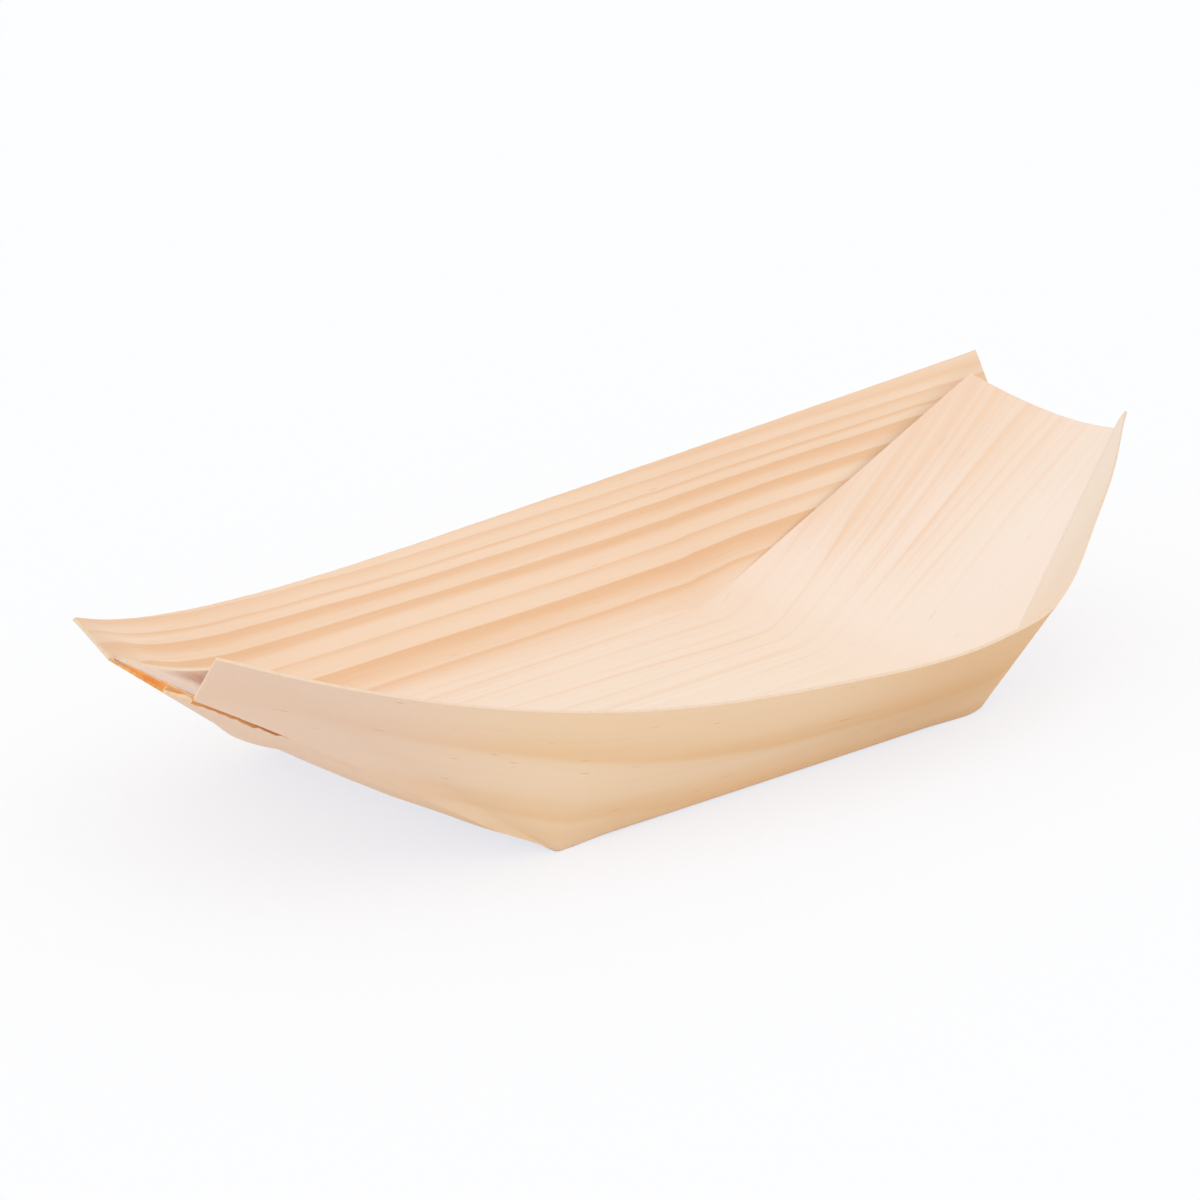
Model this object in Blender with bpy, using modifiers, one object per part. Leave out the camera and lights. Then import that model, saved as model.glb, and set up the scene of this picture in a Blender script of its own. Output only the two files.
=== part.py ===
"""Wooden snack boat folded from one thin pine veneer blank.

Run with: blender --background --python part.py

Metres, +Z up. The boat stands on its flat base with the origin under the middle of the base, +X along its
length to the right end and +Y to the rear wall. The blank is modelled as its facets, parted at the creases:
a floor panel that bends up into both ends, two side walls, and at each corner the surplus doubled over behind
the end and held by glue.
"""

import math
from dataclasses import dataclass

import bmesh
import bpy
import numpy as np

# Sheet and bond
VENEER = 0.0006
GLUE_FILM = 0.0002
CLEARANCE = 0.0003

# Half the boat's length to its wall tips, before each corner's own difference
HALF_LENGTH = 0.1100

# Flat base
BASE_LENGTH = 0.1030
BASE_WIDTH = 0.0750
END_BEND_RADIUS = 0.014
CORNER_BEND_RADIUS = 0.003

# Folded corners behind each end: how far up the end panel the wall is fully tucked behind it and the doubled
# veneer starts, and the gap left between the two folded edges at the top
TUCK_END = 0.009
FOLD_START = 0.0105
FOLD_MIDDLE_GAP = 0.003

# Mesh steps
BASE_STEPS = 12
BEND_STEPS = 6
END_STEPS = 10
ACROSS_STEPS = 12
WALL_STEPS_UP = 7
WALL_STEPS_BASE = 14
WALL_STEPS_FAN = 12
WALL_STEPS_EAR = 2
FOLD_STEPS_LONG = 8
FOLD_STEPS_WIDE = 5
FOLD_BEND_STEPS = 6
MERGE_DISTANCE = 0.000001
SMOOTH_ANGLE = math.radians(40)


@dataclass(frozen=True)
class Wall:
    """One long side wall: its rim at the middle of the boat, and how much it dips towards one end."""

    name: str
    side: int
    half_width: float
    rim_height: float
    rim_tilt: float


@dataclass(frozen=True)
class Corner:
    """One corner: the base below it, the wall's tip and the end panel's top corner.

    The first three say how much further out the corner of the base, the tip and the panel are than the boat's
    own base and half length. The powers say how sharply the rim draws in and climbs towards the tip.
    """

    base_out: float
    tip_out: float
    panel_out: float
    tip_offset: float
    tip_height: float
    panel_offset: float
    panel_height: float
    draw_in_power: float
    climb_power: float

    @property
    def base_reach(self):
        return BASE_LENGTH / 2 + self.base_out

    @property
    def tip_reach(self):
        return HALF_LENGTH + self.tip_out

    @property
    def panel_reach(self):
        return HALF_LENGTH + self.panel_out


@dataclass(frozen=True)
class End:
    """One end of the boat with its front and rear corners."""

    name: str
    direction: int
    panel_dish: float
    front: Corner
    rear: Corner

    def corner(self, side):
        return self.rear if side > 0 else self.front


FRONT_WALL = Wall(name="front", side=-1, half_width=0.0553, rim_height=0.0244, rim_tilt=-0.0108)
REAR_WALL = Wall(name="rear", side=1, half_width=0.0546, rim_height=0.0229, rim_tilt=0.0049)
LEFT_END = End(
    name="left",
    direction=-1,
    panel_dish=0.0010,
    front=Corner(
        base_out=0.0000,
        tip_out=0.0013,
        panel_out=0.0028,
        tip_offset=0.0210,
        tip_height=0.0466,
        panel_offset=0.0164,
        panel_height=0.0417,
        draw_in_power=2.68,
        climb_power=2.85,
    ),
    rear=Corner(
        base_out=0.0020,
        tip_out=0.0017,
        panel_out=-0.0030,
        tip_offset=0.0218,
        tip_height=0.0423,
        panel_offset=0.0174,
        panel_height=0.0383,
        draw_in_power=2.65,
        climb_power=2.55,
    ),
)
RIGHT_END = End(
    name="right",
    direction=1,
    panel_dish=0.0036,
    front=Corner(
        base_out=0.0000,
        tip_out=-0.0041,
        panel_out=-0.0063,
        tip_offset=0.0213,
        tip_height=0.0436,
        panel_offset=0.0208,
        panel_height=0.0400,
        draw_in_power=2.62,
        climb_power=3.90,
    ),
    rear=Corner(
        base_out=0.0000,
        tip_out=-0.0016,
        panel_out=-0.0062,
        tip_offset=0.0220,
        tip_height=0.0445,
        panel_offset=0.0186,
        panel_height=0.0416,
        draw_in_power=2.91,
        climb_power=2.90,
    ),
)

BOND = CLEARANCE + GLUE_FILM + CLEARANCE
PALE_PINE = (0.87, 0.69, 0.50, 1.0)
WARM_PINE = (0.83, 0.60, 0.38, 1.0)
DRIED_GLUE = (0.80, 0.66, 0.42, 1.0)
VENEER_ROUGHNESS = 0.7
GLUE_ROUGHNESS = 0.4


def clear_scene():
    for obj in list(bpy.data.objects):
        bpy.data.objects.remove(obj, do_unlink=True)


def matte_material(name, colour, roughness):
    material = bpy.data.materials.new(name)
    material.use_nodes = True
    shader = material.node_tree.nodes["Principled BSDF"]
    shader.inputs["Base Color"].default_value = colour
    shader.inputs["Roughness"].default_value = roughness
    shader.inputs["Metallic"].default_value = 0.0
    return material


def sheet_object(name, grid, thickness, offset, colour, roughness, collection):
    """A thin sheet on a grid of points, thickened to one side (offset -1 or 1) or to both (0)."""
    rows, columns, _ = grid.shape
    mesh = bpy.data.meshes.new(name)
    bm = bmesh.new()
    verts = [[bm.verts.new(point) for point in row] for row in grid]
    for r in range(rows - 1):
        for c in range(columns - 1):
            bm.faces.new((verts[r][c], verts[r][c + 1], verts[r + 1][c + 1], verts[r + 1][c]))
    bmesh.ops.remove_doubles(bm, verts=bm.verts, dist=MERGE_DISTANCE)
    bm.to_mesh(mesh)
    bm.free()
    mesh.shade_smooth()
    mesh.set_sharp_from_angle(angle=SMOOTH_ANGLE)
    mesh.materials.append(matte_material(name + "_finish", colour, roughness))
    obj = bpy.data.objects.new(name, mesh)
    collection.objects.link(obj)
    solidify = obj.modifiers.new("veneer thickness", "SOLIDIFY")
    solidify.thickness = thickness
    solidify.offset = offset
    solidify.use_even_offset = True
    return obj


def between(front, rear, across):
    """A point between a front and a rear one; across runs from -1 (front) to 1 (rear)."""
    return (front + rear) / 2 + (rear - front) / 2 * across


def base_corner(end, side):
    return np.array([end.direction * end.corner(side).base_reach, side * BASE_WIDTH / 2, VENEER])


def panel_corner(end, side):
    corner = end.corner(side)
    return np.array([end.direction * corner.panel_reach, side * corner.panel_offset, corner.panel_height])


def panel_foot(end, across):
    """Where the end panel would leave the base if the bend between them were sharp."""
    return between(base_corner(end, -1), base_corner(end, 1), across)


def panel_outward(end):
    """Direction square to the end panel, pointing away from the inside of the boat."""
    top = between(panel_corner(end, -1), panel_corner(end, 1), 0.0)
    rise = top - panel_foot(end, 0.0)
    slope = math.atan2(rise[2], abs(rise[0]))
    return np.array([end.direction * math.sin(slope), 0.0, -math.cos(slope)])


def panel_top(end, across):
    """Top edge of an end panel on its inner face, dished outwards between its corners."""
    chord = between(panel_corner(end, -1), panel_corner(end, 1), across)
    return chord + panel_outward(end) * end.panel_dish * (1 - across**2)


def panel_point(end, along, across):
    """A point on an end panel's inner face, along from its foot (0) to its top (1)."""
    foot = panel_foot(end, across)
    return foot + (panel_top(end, across) - foot) * along


def panel_half_width(end, along):
    top = (end.front.panel_offset + end.rear.panel_offset) / 2
    return BASE_WIDTH / 2 + (top - BASE_WIDTH / 2) * along


def floor_line(end, across):
    """Half of one lengthwise line of the floor: flat base, rounded bend, then the straight end panel."""
    foot = panel_foot(end, across)
    top = panel_top(end, across)
    rise = top[2] - foot[2]
    run = abs(top[0] - foot[0])
    slope = math.atan2(rise, run)
    radius = CORNER_BEND_RADIUS + (END_BEND_RADIUS - CORNER_BEND_RADIUS) * (1 - across**2)
    tangent = radius * math.tan(slope / 2)
    bend_from = abs(foot[0]) - tangent
    flat = [(bend_from * k / BASE_STEPS, 0.0) for k in range(BASE_STEPS)]
    bend = [
        (bend_from + radius * math.sin(turn), radius * (1 - math.cos(turn)))
        for turn in np.linspace(0, slope, BEND_STEPS + 1)[:-1]
    ]
    leave = np.array([abs(foot[0]) + tangent * math.cos(slope), tangent * math.sin(slope)])
    reach = np.array([abs(top[0]), rise])
    straight = [tuple(leave + (reach - leave) * k / END_STEPS) for k in range(END_STEPS + 1)]
    points = []
    for x, z in flat + bend + straight:
        narrowing = max(0.0, (x - abs(foot[0])) / run)
        y = foot[1] + (top[1] - foot[1]) * narrowing
        points.append((end.direction * x, y, VENEER + z))
    return points


def floor_grid():
    """The floor panel's inner face, from the left end's top to the right end's top."""
    lines = []
    for across in np.linspace(-1, 1, ACROSS_STEPS + 1):
        left = floor_line(LEFT_END, across)[:0:-1]
        lines.append(left + floor_line(RIGHT_END, across))
    return np.array(lines)


def rim_point(end, wall, along):
    """A point on a wall's rim, from the middle of the boat (along 0) to the tip (1)."""
    corner = end.corner(wall.side)
    half_width = corner.tip_offset + (wall.half_width - corner.tip_offset) * (1 - along**corner.draw_in_power)
    height = wall.rim_height + (corner.tip_height - wall.rim_height) * along**corner.climb_power
    height += wall.rim_tilt * end.direction * along * (1 - along**2)
    return np.array([end.direction * corner.tip_reach * along, wall.side * half_width, height])


def fold_depth():
    """From the end panel's inner face to the middle of the corner fold's outer layer."""
    return VENEER + BOND + VENEER + BOND + VENEER / 2


def wall_foot_corner(end, wall):
    """The foot of the wall at a base corner, clear of the floor panel's edge."""
    return base_corner(end, wall.side) + np.array([0.0, wall.side * CLEARANCE, 0.0])


def wall_end_foot(end, wall):
    """Lower end of the wall's end edge, level with the outer layer of the corner fold."""
    top = panel_corner(end, wall.side) + panel_outward(end) * (fold_depth() - VENEER / 2)
    return top + np.array([0.0, wall.side * CLEARANCE, 0.0])


def panel_edge_length(end, side):
    return np.linalg.norm(panel_corner(end, side) - base_corner(end, side))


def ramp(share):
    """Rises smoothly from 0 to 1 as share does, and stays there."""
    share = np.clip(share, 0.0, 1.0)
    return share * share * (3 - 2 * share)


def wall_half(end, wall):
    """One half of a wall's inner face: straight rulings over the base, then a fan from the base corner.

    Each column is a straight ruling from the foot of the wall to its rim. Past the base corner the rulings
    spread from that corner to the rim, and last to the wall's end edge, which passes behind the end panel.
    """
    corner = wall_foot_corner(end, wall)
    corner_share = end.corner(wall.side).base_reach / end.corner(wall.side).tip_reach
    up = np.linspace(0, 1, WALL_STEPS_UP + 1)[:, None]
    columns = []
    for share in np.linspace(0, corner_share, WALL_STEPS_BASE // 2 + 1):
        foot = corner * np.array([share / corner_share, 1.0, 1.0])
        columns.append(foot + (rim_point(end, wall, share) - foot) * up)
    for share in np.linspace(corner_share, 1, WALL_STEPS_FAN + 1)[1:]:
        columns.append(corner + (rim_point(end, wall, share) - corner) * up)
    tip = rim_point(end, wall, 1.0)
    drop = wall_end_foot(end, wall) - tip
    tucked = ramp(up * panel_edge_length(end, wall.side) / TUCK_END)
    for share in np.linspace(0, 1, WALL_STEPS_EAR + 1)[1:]:
        tuck = panel_outward(end) * (fold_depth() - VENEER / 2) * share
        columns.append(corner + (tip + drop * share - corner) * up + tuck * (tucked - up))
    return columns


def wall_grid(wall):
    """A wall's inner face from the left tip to the right tip, its normals facing into the boat."""
    columns = wall_half(LEFT_END, wall)[:0:-1] + wall_half(RIGHT_END, wall)
    grid = np.array(columns)
    return grid[::-1] if wall.side > 0 else grid


def fold_span(end, along):
    """The corner fold's width at one height: from its folded edge to just inside the end panel's edge."""
    panel_half = panel_half_width(end, along)
    folded_edge = BASE_WIDTH / 2 + (FOLD_MIDDLE_GAP - BASE_WIDTH) / 2 * along
    bend = (VENEER + BOND) / 2
    return (folded_edge + bend) / panel_half, 1.0 - CLEARANCE / panel_half


def behind_panel(end, along, across, depth):
    return panel_point(end, along, across) + panel_outward(end) * depth


def fold_stations(end, side):
    return np.linspace(FOLD_START / panel_edge_length(end, side), 1.0, FOLD_STEPS_LONG + 1)


def corner_fold_grid(end, side):
    """Middle of the doubled veneer: inner layer to the folded edge, round it, and back as the outer layer."""
    inner_depth = VENEER + BOND + VENEER / 2
    outer_depth = fold_depth()
    middle_depth = (inner_depth + outer_depth) / 2
    radius = (outer_depth - inner_depth) / 2
    rows = []
    for along in fold_stations(end, side):
        folded, edge = fold_span(end, along)
        spread = np.linspace(edge, folded, FOLD_STEPS_WIDE + 1)
        row = [behind_panel(end, along, side * a, inner_depth) for a in spread]
        for turn in np.linspace(-math.pi / 2, math.pi / 2, FOLD_BEND_STEPS + 1)[1:-1]:
            across = side * (folded - radius * math.cos(turn) / panel_half_width(end, along))
            row.append(behind_panel(end, along, across, middle_depth + radius * math.sin(turn)))
        row += [behind_panel(end, along, side * a, outer_depth) for a in spread[::-1]]
        rows.append(row)
    return np.array(rows)


def glue_grid(end, side, depth):
    """A thin film of glue in the fold, clear of the folded edge."""
    rows = []
    for along in fold_stations(end, side)[1:-1]:
        folded, edge = fold_span(end, along)
        spread = np.linspace(folded, edge, FOLD_STEPS_WIDE + 1)
        rows.append([behind_panel(end, along, side * a, depth) for a in spread])
    return np.array(rows)


def build_corner(end, wall, collection):
    """The doubled corner and its two glue films: one to the end panel, one between its own layers."""
    corner = f"{wall.name}_{end.name}"
    fold = corner_fold_grid(end, wall.side)
    sheet_object(f"{corner}_corner_fold", fold, VENEER, 0, WARM_PINE, VENEER_ROUGHNESS, collection)
    films = {
        "seam_glue": VENEER + BOND / 2,
        "fold_glue": VENEER + BOND + VENEER + BOND / 2,
    }
    for film, depth in films.items():
        grid = glue_grid(end, wall.side, depth)
        sheet_object(f"{corner}_{film}", grid, GLUE_FILM, 0, DRIED_GLUE, GLUE_ROUGHNESS, collection)


def main():
    clear_scene()
    boat = bpy.data.collections.new("wooden_snack_boat")
    bpy.context.scene.collection.children.link(boat)
    sheet_object("floor_panel", floor_grid()[::-1], VENEER, 1, PALE_PINE, VENEER_ROUGHNESS, boat)
    for wall in (FRONT_WALL, REAR_WALL):
        sheet_object(f"{wall.name}_wall", wall_grid(wall), VENEER, -1, WARM_PINE, VENEER_ROUGHNESS, boat)
        for end in (LEFT_END, RIGHT_END):
            build_corner(end, wall, boat)


main()
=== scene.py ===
"""Dressed model of a wooden snack boat, folded from one blank of thin pine veneer.

Metres, +Z up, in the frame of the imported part: the origin is under the middle of the flat base,
+X runs to the right end and +Y to the rear wall. Every surface is a function on a grid, laid out
with the flat blank's own coordinates as its UV map, so that the grain runs on across the creases
as it does in one sheet.
"""

import logging
import math
from dataclasses import dataclass, field
from enum import Enum
from typing import Any, NamedTuple

import bpy
import numpy as np
from mathutils import Matrix, Vector


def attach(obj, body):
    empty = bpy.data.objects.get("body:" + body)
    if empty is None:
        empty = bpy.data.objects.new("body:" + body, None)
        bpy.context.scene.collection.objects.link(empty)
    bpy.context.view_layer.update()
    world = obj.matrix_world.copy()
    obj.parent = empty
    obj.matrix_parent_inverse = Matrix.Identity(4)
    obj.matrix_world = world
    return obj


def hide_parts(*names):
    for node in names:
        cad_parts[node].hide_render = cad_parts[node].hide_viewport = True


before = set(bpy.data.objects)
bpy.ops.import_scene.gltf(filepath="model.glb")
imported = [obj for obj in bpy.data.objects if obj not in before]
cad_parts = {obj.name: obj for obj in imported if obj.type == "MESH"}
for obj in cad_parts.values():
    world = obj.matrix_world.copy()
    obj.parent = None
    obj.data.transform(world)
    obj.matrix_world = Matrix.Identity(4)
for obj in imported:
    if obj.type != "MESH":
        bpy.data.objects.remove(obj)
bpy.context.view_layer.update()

LOG = logging.getLogger("snack_boat")
BODY = "root"
# Name and unit of the UV map that holds the flat blank's coordinates.
FLAT_MAP = "flat"
FLAT_UNIT = 0.1
# Rate, phase and share of the sines that make a cut edge uneven.
EDGE_WAVES = ((311.0, 0.3, 0.5), (947.0, 1.9, 0.4), (2203.0, 4.1, 0.35), (5419.0, 2.6, 0.25))

Colour = tuple[float, float, float, float]
Point = tuple[float, float, float]
Stops = tuple[tuple[float, float], ...]


class Side(Enum):
    """The two long walls."""

    FRONT = -1
    REAR = 1


class EndSide(Enum):
    """The two ends."""

    LEFT = -1
    RIGHT = 1


class Face(Enum):
    """The kinds of surface, numbered as a piece's material slots; tucked is behind an end."""

    INSIDE = 0
    OUTSIDE = 1
    EDGE = 2
    TUCKED = 3


class Film(Enum):
    """The two glue films of a corner: on the end panel, and between the fold's own layers."""

    SEAM = "seam"
    FOLD = "fold"


class Slot(Enum):
    """The kinds of stuff that pieces are made of."""

    PALE_VENEER = "pale_veneer"
    WARM_VENEER = "warm_veneer"
    DRIED_GLUE = "dried_glue"


def smooth(share: Any) -> np.ndarray:
    """Rises from 0 to 1 with share, as 3 share squared - 2 share cubed; flat outside that."""
    inside = np.clip(np.asarray(share, float), 0.0, 1.0)
    return inside * inside * (3 - 2 * inside)


def bell(place: Any, middle: float, spread: float) -> np.ndarray:
    """Bell curve of height 1: e to minus the square of the distance from the middle, in spreads."""
    return np.exp(-(((place - middle) / spread) ** 2))


def unit(vector: np.ndarray) -> np.ndarray:
    """Vectors scaled to length 1 along the last axis."""
    return vector / np.linalg.norm(vector, axis=-1, keepdims=True)


def mix(a: Any, b: Any, share: Any) -> np.ndarray:
    """The point a given share of the way from a to b."""
    return a + (b - a) * share


def ragged(run: np.ndarray, size: float) -> np.ndarray:
    """Uneven cut edge: a sum of sines whose wavelengths don't fit into each other."""
    return size * sum(share * np.sin(rate * run + phase) for rate, phase, share in EDGE_WAVES)


def arc_length(points: np.ndarray, axis: int = 0) -> np.ndarray:
    """Length run along lines of points: the sum of the steps between them.

    Args:
        points: A line or a grid of points.
        axis: Which axis of it the lines run along.

    Returns:
        The length at each point, from 0 at the first.
    """
    steps = np.linalg.norm(np.diff(points, axis=axis), axis=-1)
    start = np.zeros_like(steps.take([0], axis))
    return np.concatenate([start, np.cumsum(steps, axis=axis)], axis=axis)


def link(name: str, data: Any) -> bpy.types.Object:
    """Puts new data into the scene.

    Args:
        name: The object's name.
        data: A mesh, a lamp or a camera.

    Returns:
        The object.
    """
    thing = bpy.data.objects.new(name, data)
    bpy.context.scene.collection.objects.link(thing)
    return thing


@dataclass(frozen=True)
class WallShape:
    """One long wall's rim at the middle of the boat, and how much it dips towards one end."""

    half_width: float
    rim_height: float
    rim_tilt: float


@dataclass(frozen=True)
class CornerShape:
    """One corner: base corner, wall tip, the end panel's top corner, and the wall's tuck behind it.

    The tuck is the depth behind the panel's inner face that the folded wall takes low down and at
    the top, and the hug share says how closely the wall's ear comes to the panel's edge on its way
    there. The reach is the share of the panel's length up to which the crease behind it goes, and
    the top share is how high the tucked part takes a painted glow for light from behind. The rim is
    drawn in and dips by the last two before the tip.
    """

    base_reach: float
    bend_radius: float
    tip: Point
    panel: Point
    draw_in_power: float
    climb_power: float
    tuck_low: float
    tuck_top: float
    hug_share: float
    reach: float = 1.0
    tuck_power: float = 1.0
    # Top of the painted glow on the tucked part, as a share of the wall's height.
    glow_top: float = 0.0
    rim_inset: float = 0.0
    rim_dip: float = 0.0


class Bend(NamedTuple):
    """The bend from base to end panel: radius, slope, and how far out the arc starts and leaves."""

    radius: np.ndarray
    slope: np.ndarray
    start: np.ndarray
    leave: np.ndarray


WALLS = {
    Side.FRONT: WallShape(half_width=0.0553, rim_height=0.0244, rim_tilt=-0.0108),
    Side.REAR: WallShape(half_width=0.0546, rim_height=0.0229, rim_tilt=0.0049),
}
DISHES = {EndSide.LEFT: 0.0010, EndSide.RIGHT: 0.0036}
CORNERS = {
    (EndSide.LEFT, Side.FRONT): CornerShape(
        base_reach=0.0515, bend_radius=0.002,
        tip=(-0.1126, -0.0199, 0.0471), panel=(-0.1111, -0.0170, 0.0440),
        draw_in_power=2.68, climb_power=2.85, tuck_low=0.0022, tuck_top=0.0060,
        hug_share=0.25, reach=1.006, tuck_power=2.3,
    ),
    (EndSide.LEFT, Side.REAR): CornerShape(
        base_reach=0.0535, bend_radius=0.004,
        tip=(-0.1117, 0.0218, 0.0423), panel=(-0.1066, 0.0172, 0.0352),
        draw_in_power=2.65, climb_power=2.55, tuck_low=0.0045, tuck_top=0.0008,
        hug_share=0.0, reach=1.026, glow_top=0.88,
    ),
    (EndSide.RIGHT, Side.FRONT): CornerShape(
        base_reach=0.0525, bend_radius=0.010,
        tip=(0.1059, -0.0213, 0.0436), panel=(0.1040, -0.0211, 0.0403),
        draw_in_power=2.62, climb_power=3.90, tuck_low=0.0014, tuck_top=0.0015,
        hug_share=1.0, reach=0.985, rim_inset=0.0019, rim_dip=0.0010,
    ),
    (EndSide.RIGHT, Side.REAR): CornerShape(
        base_reach=0.0515, bend_radius=0.010,
        tip=(0.1084, 0.0220, 0.0445), panel=(0.1038, 0.0186, 0.0416),
        draw_in_power=2.91, climb_power=2.90, tuck_low=0.0014, tuck_top=0.0044,
        hug_share=0.0, reach=1.022,
    ),
}


@dataclass(frozen=True)
class BoatShape:
    """The folded blank as formulas."""

    veneer: float = 0.0006
    base_width: float = 0.0750
    wall_height: float = 0.0300
    end_bend_radius: float = 0.014
    crease_radius: float = 0.0022
    inset_place: float = 0.80
    inset_spread: float = 0.12
    dip_place: float = 0.57
    dip_spread: float = 0.09
    tuck_start: float = 0.18
    loose_start: float = 0.40
    tight_stack: float = 0.0014
    touch: float = -0.0004
    ear_last: float = 0.9

    def base_corner(self, end: EndSide, side: Side) -> np.ndarray:
        """Corner of the base's upper face."""
        reach = CORNERS[end, side].base_reach
        return np.array([end.value * reach, side.value * self.base_width / 2, self.veneer])

    def across(self, front: np.ndarray, rear: np.ndarray, share: Any) -> np.ndarray:
        """Points between a front and a rear one, with share from -1 (front) to 1 (rear)."""
        return mix(front, rear, (np.asarray(share, float)[..., None] + 1) / 2)

    def panel_foot(self, end: EndSide, share: Any) -> np.ndarray:
        """Where an end panel would leave the base if the bend between them were sharp."""
        front, rear = (self.base_corner(end, side) for side in Side)
        return self.across(front, rear, share)

    def panel_outward(self, end: EndSide) -> np.ndarray:
        """Direction square to an end panel, from the slope between the middles of foot and top.

        Args:
            end: Which end.

        Returns:
            A direction of length 1, away from the inside of the boat.
        """
        front, rear = (np.array(CORNERS[end, side].panel) for side in Side)
        rise = (front + rear) / 2 - self.panel_foot(end, 0.0)
        slope = math.atan2(rise[2], abs(rise[0]))
        return np.array([end.value * math.sin(slope), 0.0, -math.cos(slope)])

    def panel_top(self, end: EndSide, share: Any) -> np.ndarray:
        """Top edge of an end panel: a chord between its corners, dished as 1 - share squared.

        Args:
            end: Which end.
            share: Place across the boat, -1 to 1.

        Returns:
            Points on the edge.
        """
        front, rear = (np.array(CORNERS[end, side].panel) for side in Side)
        hang = DISHES[end] * (1 - np.asarray(share, float) ** 2)
        return self.across(front, rear, share) + self.panel_outward(end) * hang[..., None]

    def panel(self, end: EndSide, along: Any, share: Any) -> np.ndarray:
        """Points on an end panel's inner face, straight from its sharp foot (0) to its top (1)."""
        foot, top = self.panel_foot(end, share), self.panel_top(end, share)
        return mix(foot, top, np.asarray(along, float)[..., None])

    def bend(self, end: EndSide, share: Any) -> Bend:
        """The bend from base to end panel on lines of equal share.

        Its radius goes from each corner's value to the end's at the middle, as 1 - share squared.

        Args:
            end: Which end.
            share: Place across the boat, -1 to 1.

        Returns:
            The bend's sizes, with distances from the middle of the boat.
        """
        share = np.asarray(share, float)
        foot, top = self.panel_foot(end, share), self.panel_top(end, share)
        slope = np.arctan2(top[..., 2] - foot[..., 2], np.abs(top[..., 0] - foot[..., 0]))
        edges = [CORNERS[end, side].bend_radius for side in Side]
        radius = mix(np.where(share < 0, *edges), self.end_bend_radius, 1 - share**2)
        start = np.abs(foot[..., 0]) - radius * np.tan(slope / 2)
        return Bend(radius, slope, start, start + radius * np.sin(slope))

    def floor_point(self, end: EndSide, share: Any, x: Any) -> np.ndarray:
        """Points on the floor's inner face: level, the bend's arc, then the straight end panel.

        Args:
            end: Which end.
            share: Place across the boat, -1 to 1.
            x: Distance from the middle of the boat.

        Returns:
            The points. Past the foot the width narrows in proportion to the distance.
        """
        foot, top = self.panel_foot(end, share), self.panel_top(end, share)
        radius, slope, start, leave = self.bend(end, share)
        into_arc = np.clip(x - start, 0, radius * np.sin(slope))
        arc = radius - np.sqrt(np.maximum(radius**2 - into_arc**2, 0))
        past = (x - np.abs(foot[..., 0])) / np.abs(top[..., 0] - foot[..., 0])
        z = np.where(x < leave, arc, past * (top[..., 2] - foot[..., 2]))
        y = foot[..., 1] + (top[..., 1] - foot[..., 1]) * np.clip(past, 0, None)
        return np.stack(np.broadcast_arrays(end.value * x, y, self.veneer + z), axis=-1)

    def first_along(self, end: EndSide, side: Side) -> float:
        """Share of an end panel's edge at which the bend's arc leaves off."""
        foot, top = CORNERS[end, side].base_reach, abs(CORNERS[end, side].panel[0])
        return float((self.bend(end, side.value).leave - foot) / (top - foot))

    def stations(self, end: EndSide, side: Side, up: np.ndarray) -> np.ndarray:
        """Places on an end panel's edge, from the bend's top (up 0) to the crease's reach (1)."""
        return mix(self.first_along(end, side), CORNERS[end, side].reach, up)

    def rim(self, end: EndSide, side: Side, along: np.ndarray) -> np.ndarray:
        """A wall's rim by power laws.

        The width draws in as 1 - along^p, the height climbs as along^q, and the tilt adds
        along (1 - along^2). Before the tip a bell-shaped inset takes from the width and a
        bell-shaped dip from the height.

        Args:
            end: Which end the rim runs to.
            side: Which wall.
            along: Share of the way from the middle of the boat to the tip.

        Returns:
            Points on the rim.
        """
        corner, wall = CORNERS[end, side], WALLS[side]
        tip_x, tip_y, tip_z = corner.tip
        half = abs(tip_y) + (wall.half_width - abs(tip_y)) * (1 - along**corner.draw_in_power)
        half = half - corner.rim_inset * bell(along, self.inset_place, self.inset_spread)
        height = wall.rim_height + (tip_z - wall.rim_height) * along**corner.climb_power
        height = height + wall.rim_tilt * end.value * along * (1 - along**2)
        height = height - corner.rim_dip * bell(along, self.dip_place, self.dip_spread)
        return np.stack([tip_x * along, side.value * half, height], axis=-1)

    def hug(self, end: EndSide, side: Side, along: Any) -> np.ndarray:
        """Where a wall's inner face meets the end panel's edge, just inside it above the bend.

        Args:
            end: Which end.
            side: Which wall.
            along: Share of the panel's length.

        Returns:
            Points beside the edge.
        """
        edge = self.panel(end, along, np.full_like(np.asarray(along, float), side.value))
        grown = smooth((along - self.first_along(end, side)) / self.tuck_start)
        return edge + np.array([0.0, side.value * self.touch, 0.0]) * grown[..., None]

    def crease(self, end: EndSide, side: Side, along: Any) -> np.ndarray:
        """Where a wall turns behind the end: the end panel's edge, set back by the tuck's depth.

        The depth starts above the bend at the tight stack's and goes from the low to the top value.

        Args:
            end: Which end.
            side: Which wall.
            along: Share of the panel's length.

        Returns:
            Points on the crease.
        """
        corner = CORNERS[end, side]
        past = along - self.first_along(end, side)
        loose = mix(corner.tuck_low, corner.tuck_top, along**corner.tuck_power) - self.tight_stack
        depth = self.tight_stack * smooth(past / self.tuck_start)
        depth = depth + loose * smooth(past / self.loose_start)
        return self.hug(end, side, along) + self.panel_outward(end) * depth[..., None]

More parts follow.
